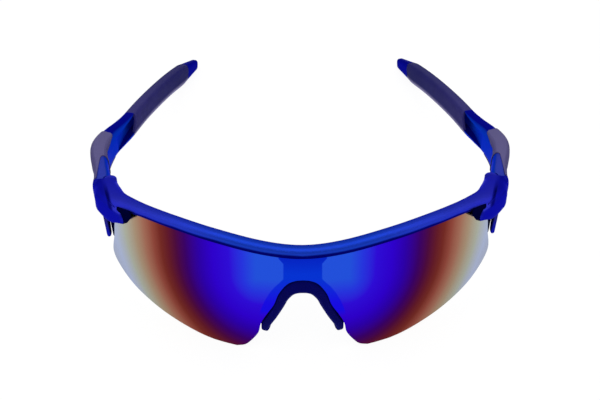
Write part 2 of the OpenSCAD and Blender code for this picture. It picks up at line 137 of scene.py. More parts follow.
class SunglassesFrame(bpy.types.PropertyGroup):
    brow: length("Brow Height", "Height of the middle of the brow bar", 47.1)
    rise: length("Brow Rise", "Rise of the brow bar above each eye", 2.8)
    bar: length("Bar", "Thickness and height of the brow bar's section", 3.9)
    nose_top: length("Nose Cut-out", "Height of the top of the nose cut-out", 35.4)
    band: length("Nose Pad Band", "Width of the nose pad's band", 3.1)
    pad_depth: length("Nose Pad Depth", "Depth of the nose pad", 8.6)
    blue: tint("Brow Blue", "Satin blue of the middle of the brow", 25, 62, 192)
    dusk: tint("Lug Blue", "Satin blue towards the lugs", 50, 54, 198)
    # Painted shade: the outer lobes and claws face away from the light, so they are painted this deeper copy
    # of the lug blue.
    deep: tint("Deep Blue", "Satin blue of the outer lobes", 24, 28, 168)
    # Painted shade: this dark blue is painted along the brow's edges, in its creases and on faces turned
    # down.
    shade: tint("Edge Blue", "Dark blue of the brow's edges and creases", 2, 2, 104)
    navy: tint("Nose Rubber", "Dark navy rubber", 0, 0, 90)
    black: tint("Black", "Moulded black of the small pieces", 0, 2, 46)


class SunglassesArms(bpy.types.PropertyGroup):
    reach: length("Length", "Length of each arm from the hinge", 131)
    bow: length("Shoulder Bow", "Outward bow of each arm at the shoulder", 3.1)
    inset: length("Tip Inset", "Distance of each tip inside the neck", 18.6)
    sock_wall: length("Sock Wall", "Wall of the ear sock", 1.1)
    grip: length("Grip", "Thickness of the shoulder pad", 1.5)
    proud: length("Proud", "Height that the shoulder pad stands out", 0.3)
    blue: tint("Neck Blue", "Satin blue of the neck", 60, 74, 190)
    shaft: tint("Arm Blue", "Satin blue between the grips", 10, 20, 158)
    # Painted light: a brighter blue painted on the arms' inward faces, which lie in shade.
    inner: tint("Inner Blue", "Blue of the inner faces", 10, 64, 186)
    tip: tint("Tip Blue", "Satin blue of the bare tips", 5, 16, 138)
    pad: tint("Shoulder Rubber", "Violet grey rubber of the shoulder pads", 80, 74, 120)
    sock: tint("Sock Rubber", "Dark violet rubber of the ear socks", 29, 28, 96)
    # Painted light: this pale colour is painted on the rubber's downward faces as light from the table, and
    # faintly on its tops as a highlight; it also flecks the grain.
    pale_lit_and_grain: tint("Pale Rubber", "Paler violet grey of the rubber's lower edge", 150, 145, 190)


def lens():
    return bpy.context.scene.sunglasses_lens


def front():
    return bpy.context.scene.sunglasses_frame


def arms():
    return bpy.context.scene.sunglasses_arms


# Curves and stations. A station is a place, a thickness, a height and a slant.


def catmull(a, b, c, d, t):
    return 0.5 * (2 * b + (c - a) * t + (2 * a - 5 * b + 4 * c - d) * t * t + (3 * b - a - 3 * c + d) * t**3)


def smooth(points, steps):
    """The same curve through the points as the solids have, in more steps."""
    p = [Vector(q) for q in points]
    p = [2 * p[0] - p[1]] + p + [2 * p[-1] - p[-2]]
    run = [catmull(*p[i : i + 4], k / steps) for i in range(len(p) - 3) for k in range(steps)]
    return run + [p[-2]]


def mirrored(stations):
    """The other half of a run that crosses the middle, in the order of travel."""
    return [(-s[0], *s[1:5], -s[5]) for s in reversed(stations) if s[0] > 0]


def heading(run, i):
    a = run[i - 1] if i else 2 * run[0] - run[1]
    b = run[i + 1] if i < len(run) - 1 else 2 * run[-1] - run[-2]
    return (Vector(b[:3]) - Vector(a[:3])).normalized()


def seat(run, i, inset=0.0, up=(0, 0, 1)):
    """Place, turn and size of the section at a station."""
    s = run[i]
    ahead = heading(run, i)
    side = ahead.cross(Vector(up)).normalized()
    rise = (side.cross(ahead) + ahead * s[5]).normalized()
    turn = Matrix((side, rise, side.cross(rise))).transposed()
    return Vector(s[:3]), turn, (s[3] - 2 * inset, (s[4] - 2 * inset) * math.hypot(1, s[5]))


def seats(run, first=0, last=None, inset=0.0):
    """The seats from one station to another."""
    last = len(run) - 1 if last is None else last
    return [seat(run, i, inset) for i in range(first, last + 1)]


def leaned(run, i, depth, lean=1.6):
    """The seat of a section of the nose pad, whose legs flare towards the face."""
    place, turn, size = seat(run, i, up=(0, 1, 0))
    tilt = Matrix.Rotation(math.atan(lean / depth), 3, turn.col[2])
    return place - turn.col[0] * lean / 2, tilt @ turn, size


def dome(run, last, depth):
    """Stations that close the end of a run with a round cap."""
    i = len(run) - 1 if last else 0
    ahead = heading(run, i) * (1 if last else -1)
    out = []
    for q in (20, 38, 54, 68, 80):  # degrees round the cap
        c = Vector(run[i][:3]) + ahead * depth * math.sin(math.radians(q))
        k = math.cos(math.radians(q))
        out.append(Vector((*c, run[i][3] * k, run[i][4] * k, 0)))
    return out


# Modelling, as by hand


def deselect():
    if bpy.context.object and bpy.context.object.mode != "OBJECT":
        bpy.ops.object.mode_set(mode="OBJECT")
    bpy.ops.object.select_all(action="DESELECT")


def take(obj):
    deselect()
    obj.select_set(True)
    bpy.context.view_layer.objects.active = obj
    return obj


def named(name):
    obj = bpy.context.object
    obj.name = obj.data.name = name
    return obj


def swept(name, path, corner=0.32):
    """A rounded section, extruded, turned and resized from one seat to the next."""
    deselect()
    bpy.ops.mesh.primitive_plane_add(size=1)
    obj = named(name)
    bpy.ops.object.mode_set(mode="EDIT")
    bpy.ops.mesh.select_all(action="SELECT")
    bpy.ops.mesh.bevel(offset=corner, segments=5, affect="VERTICES", profile=0.5)
    place, turn, size = Vector(), Matrix.Identity(3), (1.0, 1.0)
    for i, (new_place, new_turn, new_size) in enumerate(path):
        if i:
            bpy.ops.mesh.extrude_region()
        bpy.ops.transform.resize(
            value=(new_size[0] / size[0], new_size[1] / size[1], 1),
            orient_type="LOCAL",
            orient_matrix=turn,
            orient_matrix_type="LOCAL",
            center_override=place,
        )
        # With no window the turn goes the other way.
        for axis, angle in zip("XYZ", (new_turn @ turn.transposed()).to_euler("XYZ")):
            bpy.ops.transform.rotate(
                value=-angle, orient_axis=axis, orient_type="GLOBAL", center_override=place
            )
        bpy.ops.transform.translate(value=new_place - place)
        place, turn, size = new_place, new_turn, new_size
    return closed(obj)


def closed(obj):
    """Merges what coincides and points all faces outwards."""
    take(obj)
    bpy.ops.object.mode_set(mode="EDIT")
    bpy.ops.mesh.select_all(action="SELECT")
    bpy.ops.mesh.remove_doubles(threshold=1e-4)
    bpy.ops.mesh.normals_make_consistent(inside=False)
    bpy.ops.object.mode_set(mode="OBJECT")
    return obj


def drawn(name, points, depth):
    """An outline drawn point by point, filled and extruded."""
    deselect()
    bpy.ops.mesh.primitive_plane_add(size=1)
    obj = named(name)
    bpy.ops.object.mode_set(mode="EDIT")
    bpy.ops.mesh.select_all(action="SELECT")
    bpy.ops.mesh.merge(type="CENTER")
    here = Vector()
    for i, point in enumerate(points):
        step = Vector(point) - here
        if i:
            bpy.ops.mesh.extrude_vertices_move(TRANSFORM_OT_translate={"value": step})
        else:
            bpy.ops.transform.translate(value=step)
        here = Vector(point)
    bpy.ops.mesh.select_all(action="SELECT")
    bpy.ops.mesh.edge_face_add()
    if depth:
        bpy.ops.mesh.extrude_region_move(TRANSFORM_OT_translate={"value": Vector(depth)})
        return closed(obj)
    bpy.ops.object.mode_set(mode="OBJECT")
    return obj


def rod(name, x, y, low, high, radius):
    deselect()
    bpy.ops.mesh.primitive_cylinder_add(
        vertices=64, radius=radius, depth=high - low, location=(x, y, (low + high) / 2)
    )
    obj = named(name)
    bpy.ops.object.transform_apply(location=True, rotation=True, scale=True)
    return obj


def block(name, low, high):
    deselect()
    low, high = Vector(low), Vector(high)
    bpy.ops.mesh.primitive_cube_add(size=1, location=(low + high) / 2)
    obj = named(name)
    bpy.ops.transform.resize(value=high - low)
    bpy.ops.object.transform_apply(location=True, rotation=True, scale=True)
    return obj


def joined(name, *parts):
    take(parts[0])
    for p in parts:
        p.select_set(True)
    bpy.ops.object.join()
    return named(name)


def finish_with(obj, kind, **settings):
    take(obj)
    bpy.ops.object.modifier_add(type=kind)
    mod = obj.modifiers[-1]
    for key, value in settings.items():
        setattr(mod, key, value)
    bpy.ops.object.modifier_apply(modifier=mod.name)
    return obj


def combine(obj, tool, how):
    before = len(obj.data.polygons)
    finish_with(obj, "BOOLEAN", object=tool, operation=how, solver="MANIFOLD")
    bpy.data.objects.remove(tool)
    if not before or not obj.data.polygons:
        raise RuntimeError(f"{obj.name} came out empty")
    return obj


def cut(obj, *tools):
    for tool in tools:
        combine(obj, tool, "DIFFERENCE")
    return obj


def moulded(obj, voxel, rounds):
    """Melts overlapping bodies into one skin with softly rounded edges."""
    finish_with(obj, "REMESH", mode="VOXEL", voxel_size=voxel)
    finish_with(obj, "SMOOTH", factor=0.5, iterations=rounds)
    return obj


def twin(obj, name):
    """The mirror image, with a mesh of its own."""
    take(obj)
    bpy.ops.object.duplicate()
    other = named(name)
    bpy.ops.transform.resize(value=(-1, 1, 1), center_override=(0, 0, 0))
    bpy.ops.object.transform_apply(location=True, rotation=True, scale=True)
    return closed(other)


def settle(obj, material, body, *nodes, angle):
    """Brings a modelled piece to metres, finishes it and fixes it to its body."""
    take(obj)
    bpy.ops.transform.resize(value=(MM, MM, MM), center_override=(0, 0, 0))
    bpy.ops.object.transform_apply(location=True, rotation=True, scale=True)
    bpy.ops.object.shade_smooth_by_angle(angle=math.radians(angle))
    obj.data.materials.clear()
    obj.data.materials.append(material)
    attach(obj, body)
    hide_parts(*nodes)
    record = frame["record"]["subparts"]
    next(s["material_slot"] for s in record if s["node"] == nodes[0])
    return obj


# Shared places, in millimetres

HINGE = next(j for j in frame["joints"] if j["name"] == "right_arm_fold")["pos_m"]
HX, HY, HZ = (c / MM for c in HINGE)
FRONT_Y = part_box("shield_lens")[0].y / MM


def lens_at(x, z, out):
    """A point of the lens' outer face, moved outwards by a distance."""
    g = lens()
    fall = g.side_radius / MM - math.sqrt((g.side_radius / MM) ** 2 - (z - g.belly / MM) ** 2)
    r = g.plan_radius / MM - fall + out
    return Vector((x, FRONT_Y + g.plan_radius / MM - math.sqrt(r * r - x * x), z))


def station(place, t, h):
    return (*place, t, h, 0)


def curved_plate(name, outline, inner, outer):
    """A plate that follows the lens, between two offsets from its outer face."""
    plan = lens().plan_radius / MM
    heights = [-3 + 1.5 * i for i in range(38)]  # from below the lens to above the brow
    profile = [lens_at(0, z, outer) for z in heights] + [lens_at(0, z, inner) for z in reversed(heights)]
    sheet = drawn(name, profile, None)
    take(sheet)
    bpy.ops.object.mode_set(mode="EDIT")
    bpy.ops.mesh.select_all(action="SELECT")
    centre = Vector((0, FRONT_Y + plan, 0))
    half = math.radians(62)
    bpy.ops.transform.rotate(value=half, orient_axis="Z", orient_type="GLOBAL", center_override=centre)
    bpy.ops.mesh.spin(steps=124, angle=-2 * half, center=centre, axis=(0, 0, 1))
    sheet = closed(sheet)
    prism = drawn("outline", [(x, FRONT_Y - 30, z) for x, z in outline], (0, 100, 0))
    return combine(sheet, prism, "INTERSECT")


def both_sides(half):
    """The whole outline, from its right half in order from the middle."""
    return [tuple(p) for p in half] + [(-p[0], p[1]) for p in reversed(half) if p[0] > 0.01]


def grown(points, d):
    """A closed outline moved outwards by a distance."""
    n = len(points)
    p = [Vector(q) for q in points]
    turn = sum(p[i].x * p[(i + 1) % n].y - p[(i + 1) % n].x * p[i].y for i in range(n))
    sign = 1 if turn > 0 else -1
    out = []
    for i in range(n):
        t = (p[(i + 1) % n] - p[i - 1]).normalized()
        out.append(p[i] + Vector((t.y, -t.x)) * d * sign)
    return out


def brow_stations():
    f, g = front(), lens()
    z, bar, half, t = f.brow / MM, f.bar / MM, g.half_width / MM, g.thickness / MM
    path = [(0, 0), (0.188, 0.35), (0.413, 0.95), (0.604, 1), (0.743, 0.6)]
    run = [station(lens_at(a * half, z + f.rise / MM * b, -t / 2), bar, bar) for a, b in path]
    run += [
        station(lens_at(half - 10.6, z + 0.1, -t / 2), bar + 0.5, bar + 0.6),
        station(lens_at(half - 6.2, z - 2.2, -t / 2), bar + 2.2, bar + 2.2),
        station(lens_at(half - 2.5, z - 5.5, -t), bar + 4.4, bar + 4.4),
        (HX + 0.7, HY - 3.6, HZ + 2.2, 8.6, 9.6, 0),
        (HX + 2, HY + 1, HZ + 0.7, 8, 9.6, 0),
    ]
    return run


def lens_outline():
    f, g = front(), lens()
    top, z, half = f.nose_top / MM, f.brow / MM, g.half_width / MM
    nose = [(0, 0.9), (2.4, 0.5), (4.9, -1.2), (7.4, -5.6), (8.9, -10.7), (11.4, -16), (13.2, -20.6)]
    nose = [(x, top + d) for x, d in nose] + [(14.1, 9.8), (16.3, 5.2), (18.6, 1.7), (21.5, 0)]
    low = [
        (0.523, 0.013), (0.635, 0.047), (0.7355, 0.0786), (0.8138, 0.1083), (0.8889, 0.1401),
        (0.9452, 0.1868),
    ]
    side = [(0.7, 0.2548), (0, 0.3291), (0.6, 0.4246), (2.2, 0.5732), (3.4, 0.7219)]
    rim = [(29, 0)] + [(a * half, b * z) for a, b in low] + [(half - a, b * z) for a, b in side]
    rim += [(half - 4.8, z - 8.6), (half - 7.8, z - 4.6)]
    # The top edge lies in the groove of the bar.
    bar = smooth([(s[0], s[2] - f.bar / MM / 2 + 1.6) for s in brow_stations()[:7]], 3)
    bar = [p for p in reversed(bar) if p.x < half - 9]
    return smooth(nose, 4) + smooth(rim, 4) + bar


def lens_room(name):
    """The lens, larger by its gap: what is cut with this clears it."""
    g = lens()
    gap = g.gap / MM
    return curved_plate(name, grown(both_sides(lens_outline()), gap), -g.thickness / MM - gap, gap)


def bracket_plate(name, gap=0.0):
    """The bridge bracket, or with a gap its room in the nose pad."""
    back = -lens().thickness / MM
    outline = grown(both_sides(bracket_outline()), gap)
    return curved_plate(name, outline, back - BRACKET[0] - gap, back - BRACKET[1] + gap)


def arm_stations():
    a = arms()
    reach, bow, inset = a.reach / MM, a.bow / MM, a.inset / MM
    drop = HZ - 2.4  # to the middle of the tip, which rests on the table

    def at(back, out, up, t, h, slant=0.0):
        return (HX + ARM_OUT + out, HY + back, HZ + up, t, h, slant)

    path = [(0.462, 0.245, 0.313), (0.585, 0.392, 0.461), (0.723, 0.567, 0.641), (0.846, 0.735, 0.817)]
    return (
        [
            at(-1, 0, 0.7, 5.5, 9.6),
            at(3, 0, 0.8, 5.2, 9.6),
            at(9, 0.4 * bow, 1, 4.8, 9.6),
            at(15, 0.85 * bow, 0.7, 5.8, 9.9),
            at(22, bow, -0.6, 6.8, 10.2),
            at(30, 0.57 * bow, -2.4, 6.3, 9.7, 0.1),
            at(38, -0.017 * inset, -0.134 * drop, 5.8, 9.1, 0.35),
            at(46, -0.119 * inset, -0.195 * drop, 5.5, 8.8, 0.5),
        ]
        + [at(e * reach, -i * inset, -d * drop, 5.3, 8.7) for e, i, d in path]
        + [at(reach - 14, -0.808 * inset, -0.882 * drop, 4.9, 7.7), at(reach - 1.5, -inset, -drop, 3.4, 4.8)]
    )


# Materials


class Value:
    """A socket of the node tree, so that maths reads as maths."""

    def __init__(self, tree, socket):
        self.tree, self.socket = tree, socket

    def math(self, how, *others, clamp=False):
        node = self.tree.nodes.new("ShaderNodeMath")
        node.operation, node.use_clamp = how, clamp
        for slot, v in zip(node.inputs, (self, *others)):
            if isinstance(v, Value):
                self.tree.links.new(v.socket, slot)
            else:
                slot.default_value = v
        return Value(self.tree, node.outputs[0])

    def __add__(self, o):
        return self.math("ADD", o)

    __radd__ = __add__

    def __mul__(self, o):
        return self.math("MULTIPLY", o)

    __rmul__ = __mul__

    def __sub__(self, o):
        return self.math("SUBTRACT", o)

    def __rsub__(self, o):
        return (self * -1.0) + o

    def __pow__(self, o):
        return self.math("POWER", o)

    def clip(self):
        return self.math("ADD", 0.0, clamp=True)

    def above(self, low, high):
        """0 below low, 1 above high, even between."""
        return ((self - low) * (1.0 / (high - low))).clip()


class Finish:
    """A material, its tree and its main shader."""

    def __init__(self, name):
        self.material = bpy.data.materials.new(name)
        self.material.use_nodes = True
        self.tree = self.material.node_tree
        self.tree.nodes.clear()
        self.shader = self.tree.nodes.new("ShaderNodeBsdfPrincipled")
        self.out = self.tree.nodes.new("ShaderNodeOutputMaterial")
        self.tree.links.new(self.shader.outputs[0], self.out.inputs[0])
        self.shader.inputs["Specular IOR Level"].default_value = 0.1
        self.place = Value(self.tree, self.tree.nodes.new("ShaderNodeTexCoord").outputs["Object"])

    def node(self, kind, settings=None, stops=None, **sockets):
        """Any other node: its settings first, then the values or links of its sockets."""
        n = self.tree.nodes.new("ShaderNode" + kind)
        for key, value in (settings or {}).items():
            setattr(n, key, value)
        if stops:
            ramp = n.color_ramp
            while len(ramp.elements) < len(stops):
                ramp.elements.new(0.5)
            for e, (where, c) in zip(ramp.elements, stops):
                e.position, e.color = where, (*c, 1) if len(c) == 3 else c
        for key, value in sockets.items():
            slot = next(s for s in n.inputs if s.enabled and s.name.replace(" ", "_") == key)
            if isinstance(value, Value):
                self.tree.links.new(value.socket, slot)
            else:
                slot.default_value = value
        return n

    def get(self, kind, output, stops=None, **sockets):
        return Value(self.tree, self.node(kind, None, stops, **sockets).outputs[output])

    def axes(self):
        n = self.node("SeparateXYZ", Vector=self.place)
        return [Value(self.tree, s) for s in n.outputs]

    def noise(self, scale, detail=3.0, roughness=0.55):
        return self.get("TexNoise", "Fac", Vector=self.place, Scale=scale, Detail=detail, Roughness=roughness)

    def blend(self, factor, a, b):
        n = self.node("Mix", {"data_type": "RGBA"}, Factor=factor)
        for slot, v in zip([s for s in n.inputs if s.enabled][1:], (a, b)):
            if isinstance(v, Value):
                self.tree.links.new(v.socket, slot)
            else:
                slot.default_value = (*v, 1)
        return Value(self.tree, next(s for s in n.outputs if s.enabled))

    def set(self, **sockets):
        for key, value in sockets.items():
            slot = self.shader.inputs[key.replace("_", " ")]
            if isinstance(value, Value):
                self.tree.links.new(value.socket, slot)
            else:
                slot.default_value = value if not isinstance(value, tuple) else (*value, 1)
        return self

    def bump(self, height, distance, strength):
        normal = self.get("Bump", "Normal", Height=height, Distance=distance, Strength=strength)
        return self.set(Normal=normal)


def brow_colour(f):
    """Bright in the middle; painted shade deeper outside the crease, dark in it and along the edges of the
    bar; a painted reflection on the prongs.
    """
    g = front()
    x, y, z = f.axes()
    side = x.math("ABSOLUTE")
    base = f.blend(side.above(0.02, 0.058), tuple(g.blue), tuple(g.dusk))
    # Seen from above, the crease of each lug is nearly straight. Painted shade: the outer lobe beyond it and
    # the claw below it are painted deep blue, as they face away from the light.
    outside = side - y * 0.301 - 0.0784
    claw = (0.0449 - z).above(0.0, 0.0005) * side.above(0.0545, 0.055) * (-0.056 - y).above(0.0, 0.001)
    base = f.blend(outside.above(-0.001, 0.001).math("MAXIMUM", claw), base, tuple(g.deep))
    # Painted shade in the crease between the lobes, over the real groove cut there.
    crease = (1.0 - outside.math("ABSOLUTE").above(0.0003, 0.0008)) * y.above(-0.063, -0.062)
    crease = crease * (1.0 - y.above(-0.057, -0.049)) * z.above(0.044, 0.0445)
    base = f.blend(crease * 0.8, base, tuple(g.shade))
    # Height of the bar's middle along its half, as a share of its range
    share = [(0, 0.5), (0.188, 0.675), (0.413, 0.975), (0.604, 1), (0.743, 0.8), (0.834, 0.52), (0.903, 0.11)]
    stops = [(w, (v, v, v)) for w, v in share]
    rise = f.get("ValToRGB", "Color", stops=stops, Fac=side * (1 / lens().half_width))
    under = (rise * (2 * g.rise) + (g.brow - g.rise)) - z
    # Painted shade: a dark line along the lower edge of the bar, and darker faces where its top edge turns
    # back from the light.
    edge = under.above(-0.0005, 0.0001) * (1.0 - under.above(0.0022, 0.0026))
    edge = edge.math("MAXIMUM", facing(f)[1].above(0.3, 0.6) * 0.7) * (1.0 - side.above(0.054, 0.057))
    base = f.blend(edge, base, tuple(g.shade))
    # Painted light on each prong: shade in deep blue lower down, a painted grey violet reflection near its
    # top.
    prong = (0.0315 - z).above(0.0, 0.001) * side.above(0.062, 0.0625)
    base = f.blend(prong, base, f.blend((z - 0.024) * 150.0, tuple(g.deep), colour(50, 47, 108)))
    return base, tuple(g.shade), (0.0, 0.0, 0.0)


def arm_colour(f):
    """Neck, shaft and tip in three blues, with a brighter blue and a faint glow painted on the inward faces
    as light.
    """
    g = arms()
    x, y, _ = f.axes()
    base = f.blend(y.above(-0.035, -0.02), tuple(g.blue), tuple(g.shaft))
    base = f.blend(y.above(0.05, 0.06), base, tuple(g.tip))
    # Painted light on the inward faces: a brighter blue and a faint glow lift them out of their shade.
    lit_inner_faces = ((facing(f)[0] * x) * -1.0).above(0.025, 0.05) * (1.0 - y.above(0.05, 0.06))
    glow = f.blend(lit_inner_faces, (0, 0, 0), (0.0, 0.001, 0.05))
    return f.blend(lit_inner_faces, base, tuple(g.inner)), tuple(g.shaft), glow


def facing(f):
    """The three parts of the direction that a face looks in."""
    split = f.node("SeparateXYZ", Vector=f.get("NewGeometry", "Normal"))
    return [Value(f.tree, s) for s in split.outputs]


def satin_blue(name, coloured):
    """Satin metallic paint: fine flake, softly uneven gloss, and painted shade on the faces turned down.

    coloured gives the colour, the painted shade of the faces turned down and a faint painted glow.
    """
    f = Finish(name)
    flake = f.noise(5200.0, 2.0)
    cloud = f.noise(160.0, 3.0)
    base, below, glow = coloured(f)
    # Painted shade: faces turned down take the darker colour.
    base = f.blend((facing(f)[2] * -1.0).above(0.2, 0.8) * 0.7, base, below)
    base = f.blend(flake.above(0.55, 0.75) * 0.1, base, colour(70, 90, 226))
    worn = f.noise(900.0, 4.0, 0.7).above(0.6, 0.8)
    f.set(
        Base_Color=base,
        Metallic=0.96,
        Specular_Tint=(0.3, 0.3, 0.9),
        Roughness=0.46 + 0.1 * cloud - 0.05 * worn,
        Emission_Color=glow,
        Emission_Strength=1.0,
    )
    return f.bump(flake * 0.6 + cloud * 0.4, 0.00001, 0.5).material


def grip_rubber(name, base, dark, pale_lit_and_grain, near=None):
    """Soft rubber: matt, finely grained, with painted light: paler below where the table would light it and a
    touch paler on top.

    near is the colour of the piece's front end, where that differs.
    """
    f = Finish(name)
    grainy = f.noise(2600.0, 4.0, 0.65)
    dust = f.noise(240.0, 3.0)
    if near:
        base = f.blend(f.axes()[1].above(0.0, 0.055), near, base)
    shade = f.blend(dust.above(0.35, 0.7) * 0.3, base, dark)
    # Painted light: faces turned down are painted pale, as if lit from the table.
    shade = f.blend((facing(f)[2] * -1.0).above(0.03, 0.3) * 0.9, shade, pale_lit_and_grain)
    # Painted highlight: upward faces a little paler.
    shade = f.blend(facing(f)[2].above(0.6, 0.95) * (0.05 if near else 0.15), shade, pale_lit_and_grain)
    shade = f.blend(grainy.above(0.55, 0.8) * 0.1, shade, pale_lit_and_grain)
    f.set(Base_Color=shade, Roughness=0.62 + 0.15 * grainy, Specular_IOR_Level=0.03)
    return f.bump(grainy, 0.00003, 0.6).material


def moulded_black():
    f = Finish("moulded_black")
    spark = f.noise(3000.0, 3.0)
    base = f.blend(spark.above(0.45, 0.7) * 0.4, tuple(front().black), colour(4, 5, 56))
    f.set(Base_Color=base, Roughness=0.5 + 0.12 * spark, Specular_IOR_Level=0.0)
    return f.bump(spark, 0.00002, 0.5).material


def mirror_coat():
    """Mirror coating: bands that follow the outer and lower edge, and the bracket behind the middle."""
    g = lens()
    f = Finish("mirror_coat")
    x, _, z = f.axes()
    side = x.math("ABSOLUTE")
    across = ((side - 0.014).math("MAXIMUM", 0.0)) ** 2.0
    down = (((0.036 - z) * 0.68).math("MAXIMUM", 0.0)) ** 2.0
    band = (across + down) ** 0.5
    stops = [
        (0.0, g.middle), (0.08, colour(38, 52, 221)), (0.16, colour(46, 12, 214)), (0.26, g.violet),
        (0.34, colour(45, 1, 168)), (0.43, g.wine), (0.49, colour(77, 13, 62)), (0.54, colour(99, 28, 42)),
        (0.59, g.rust), (0.64, colour(145, 72, 60)), (0.70, colour(166, 110, 90)), (0.77, g.sand),
        (0.85, colour(186, 190, 174)), (0.95, g.sky),
    ]
    last_band = 0.05
    ramp = f.get("ValToRGB", "Color", stops=[(w, tuple(c)) for w, c in stops], Fac=band * (1 / last_band))
    # Half width of the bracket at each height in millimetres, as it shows through the lens
    reach = [
        (18, 13.8), (22.4, 12.9), (26.1, 11.8), (29.8, 10.3), (32.9, 8.6), (35, 7), (36.6, 5.9), (43, 5.8),
        (45, 7.2),
    ]
    low, span, widest = 18, 28, 20
    stops = [((h - low) / span, (w / widest,) * 3) for h, w in reach]
    shape = f.get("ValToRGB", "Color", stops=stops, Fac=(z - low * MM) * (1 / (span * MM)))
    behind = (shape * (widest * MM) - side).above(-0.0001, 0.0002) * z.above(0.0185, 0.0215)
    bracket = f.blend(z.above(0.026, 0.037), colour(20, 12, 226), colour(0, 46, 208))
    bracket = f.blend(z.above(0.039, 0.045) * 0.8, bracket, colour(0, 20, 186))
    smear = f.noise(420.0, 4.0, 0.6)
    f.set(
        Base_Color=f.blend(behind * 0.9, ramp, bracket),
        Metallic=1.0,
        Specular_Tint=(0.5, 0.5, 0.5),
        Roughness=0.16 + 0.06 * smear,
    )
    return f.bump(smear, 0.000001, 0.1).material


def plated_steel():
    f = Finish("plated_steel")
    turned = f.noise(4200.0, 3.0)
    base = f.blend(turned, colour(150, 152, 158), colour(196, 198, 204))
    f.set(Base_Color=base, Metallic=1.0, Roughness=0.26 + 0.14 * turned)
    return f.bump(turned, 0.00001, 0.4).material


def plain_brass():
    f = Finish("plain_brass")
    turned = f.noise(3800.0, 3.0)
    base = f.blend(turned, colour(168, 132, 60), colour(208, 176, 100))
    f.set(Base_Color=base, Metallic=1.0, Roughness=0.3 + 0.12 * turned)
    return f.bump(turned, 0.00001, 0.4).material


# Operators


class OBJECT_OT_sunglasses_lens(bpy.types.Operator):
    """Model the one-piece mirrored lens"""

    bl_idname = "object.sunglasses_lens"
    bl_label = "Shield Lens"

    def execute(self, context):
        plate = curved_plate("mirror_shield", both_sides(lens_outline()), -lens().thickness / MM, 0.0)
        settle(plate, mirror_coat(), "front", "shield_lens", angle=30)
        return {"FINISHED"}


class OBJECT_OT_sunglasses_brow(bpy.types.Operator):
    """Model the brow frame with its lugs, claws, prongs and bridge bracket"""

    bl_idname = "object.sunglasses_brow"
    bl_label = "Brow Frame"

    def execute(self, context):
        f, g = front(), lens()
        z, half = f.brow / MM, g.half_width / MM
        bar = brow_stations()
        run = smooth(mirrored(bar) + bar, 6)
        parts = [swept("bar", seats(run), 0.4)]
        claw = smooth(
            [
                station(lens_at(half - 7.7, z - 4.2, 1.55), 2.3, 4.8),
                station(lens_at(half - 5.1, z - 5, 1.6), 2.6, 6.6),
                station(lens_at(half - 2.1, z - 6.5, 1.55), 2.6, 8.2),
                station(lens_at(half + 0.9, z - 7.2, 1.45), 2.8, 7),
                (HX + 2.9, HY - 5, HZ + 1.8, 3.6, 7, 0),
                (HX + 3.9, HY - 1.2, HZ + 1.5, 3.8, 8.6, 0),
                (HX + 4, HY + 1, HZ + 1.5, 3.8, 8.6, 0),
            ],
            6,
        )
        claw = list(reversed(dome(claw, False, 1.5))) + claw
        x, y, low = HX + 2.35, HY - 3.7, HZ - 4.2  # where the prong leaves the lug
        prong = [(2.6, 2.8, 4.4), (0, 1.9, 4), (-6, 1.6, 3.4), (-10.8, 1.5, 2.8)]
        prong = smooth([(x, y, low + up, t, h, 0) for up, t, h in prong], 5)
        prong += dome(prong, True, 1.2)
        half_parts = [
            swept("claw", seats(claw)),
            swept("prong", [seat(prong, i, up=(0, 1, 0)) for i in range(len(prong))]),
        ]
        parts += half_parts + [twin(p, p.name + "_twin") for p in half_parts]
        body = joined("brow_moulding", *parts)
        body = moulded(body, 0.3, 3)
        cut(body, block("end", (-200, HY - SEAM, -50), (200, HY + 30, 100)))
        ears = []
        for hx in (-HX, HX):
            for base in (HZ + EAR_LOW, HZ - EAR_LOW - EAR_T):
                top = base + EAR_T
                ears.append(rod("ear", hx, HY, base, top, BARREL_R))
                ears.append(block("ear_root", (hx - 2.15, HY - 4.4, base), (hx + 2.15, HY, top)))
        for e in ears:
            combine(body, e, "UNION")
        # A fine groove between the inner and the outer lobe of each lug
        path = [
            (-4.5, -17.6, 8.4), (-2.5, -15.7, 9.25), (-1.5, -13.4, 9.7), (-0.5, -10.1, 9.55),
            (0.2, -7.5, 9.3),
        ]
        path = smooth([(HX + x, HY + y, HZ + z, 0.45, 0.8, 0) for x, y, z in path], 4)
        crease = swept("crease", seats(path))
        cut(body, twin(crease, "crease_twin"), crease)
        bracket = bracket_plate("bracket")
        finish_with(
            bracket, "BEVEL", width=0.25, segments=2, limit_method="ANGLE", angle_limit=math.radians(50)
        )
        combine(body, bracket, "UNION")
        cut(body, lens_room("groove"))
        for hx in (-HX, HX):
            cut(body, rod("room", hx, HY, HZ - EAR_LOW, HZ + EAR_LOW, ROOM_R))
            cut(body, block("room", (hx - 9, HY - ROOM_R, HZ - EAR_LOW), (hx + 9, HY + 6, HZ + EAR_LOW)))
            cut(body, rod("bore", hx, HY, HZ - 9, HZ + 2, BORE_R))
            cut(body, rod("bore", hx, HY, HZ - 9, HZ + HEAD_TOP, HEAD_R))
            cut(body, rod("bore", hx, HY, HZ, HZ + INSERT_TOP, INSERT_R))
        for node in ("claw_pad", "lens_catch"):
            for side in SIDES:
                cut(body, pocket(side + "_" + node))
        settle(body, satin_blue("satin_brow", brow_colour), "front", "brow_frame", angle=35)
        return {"FINISHED"}


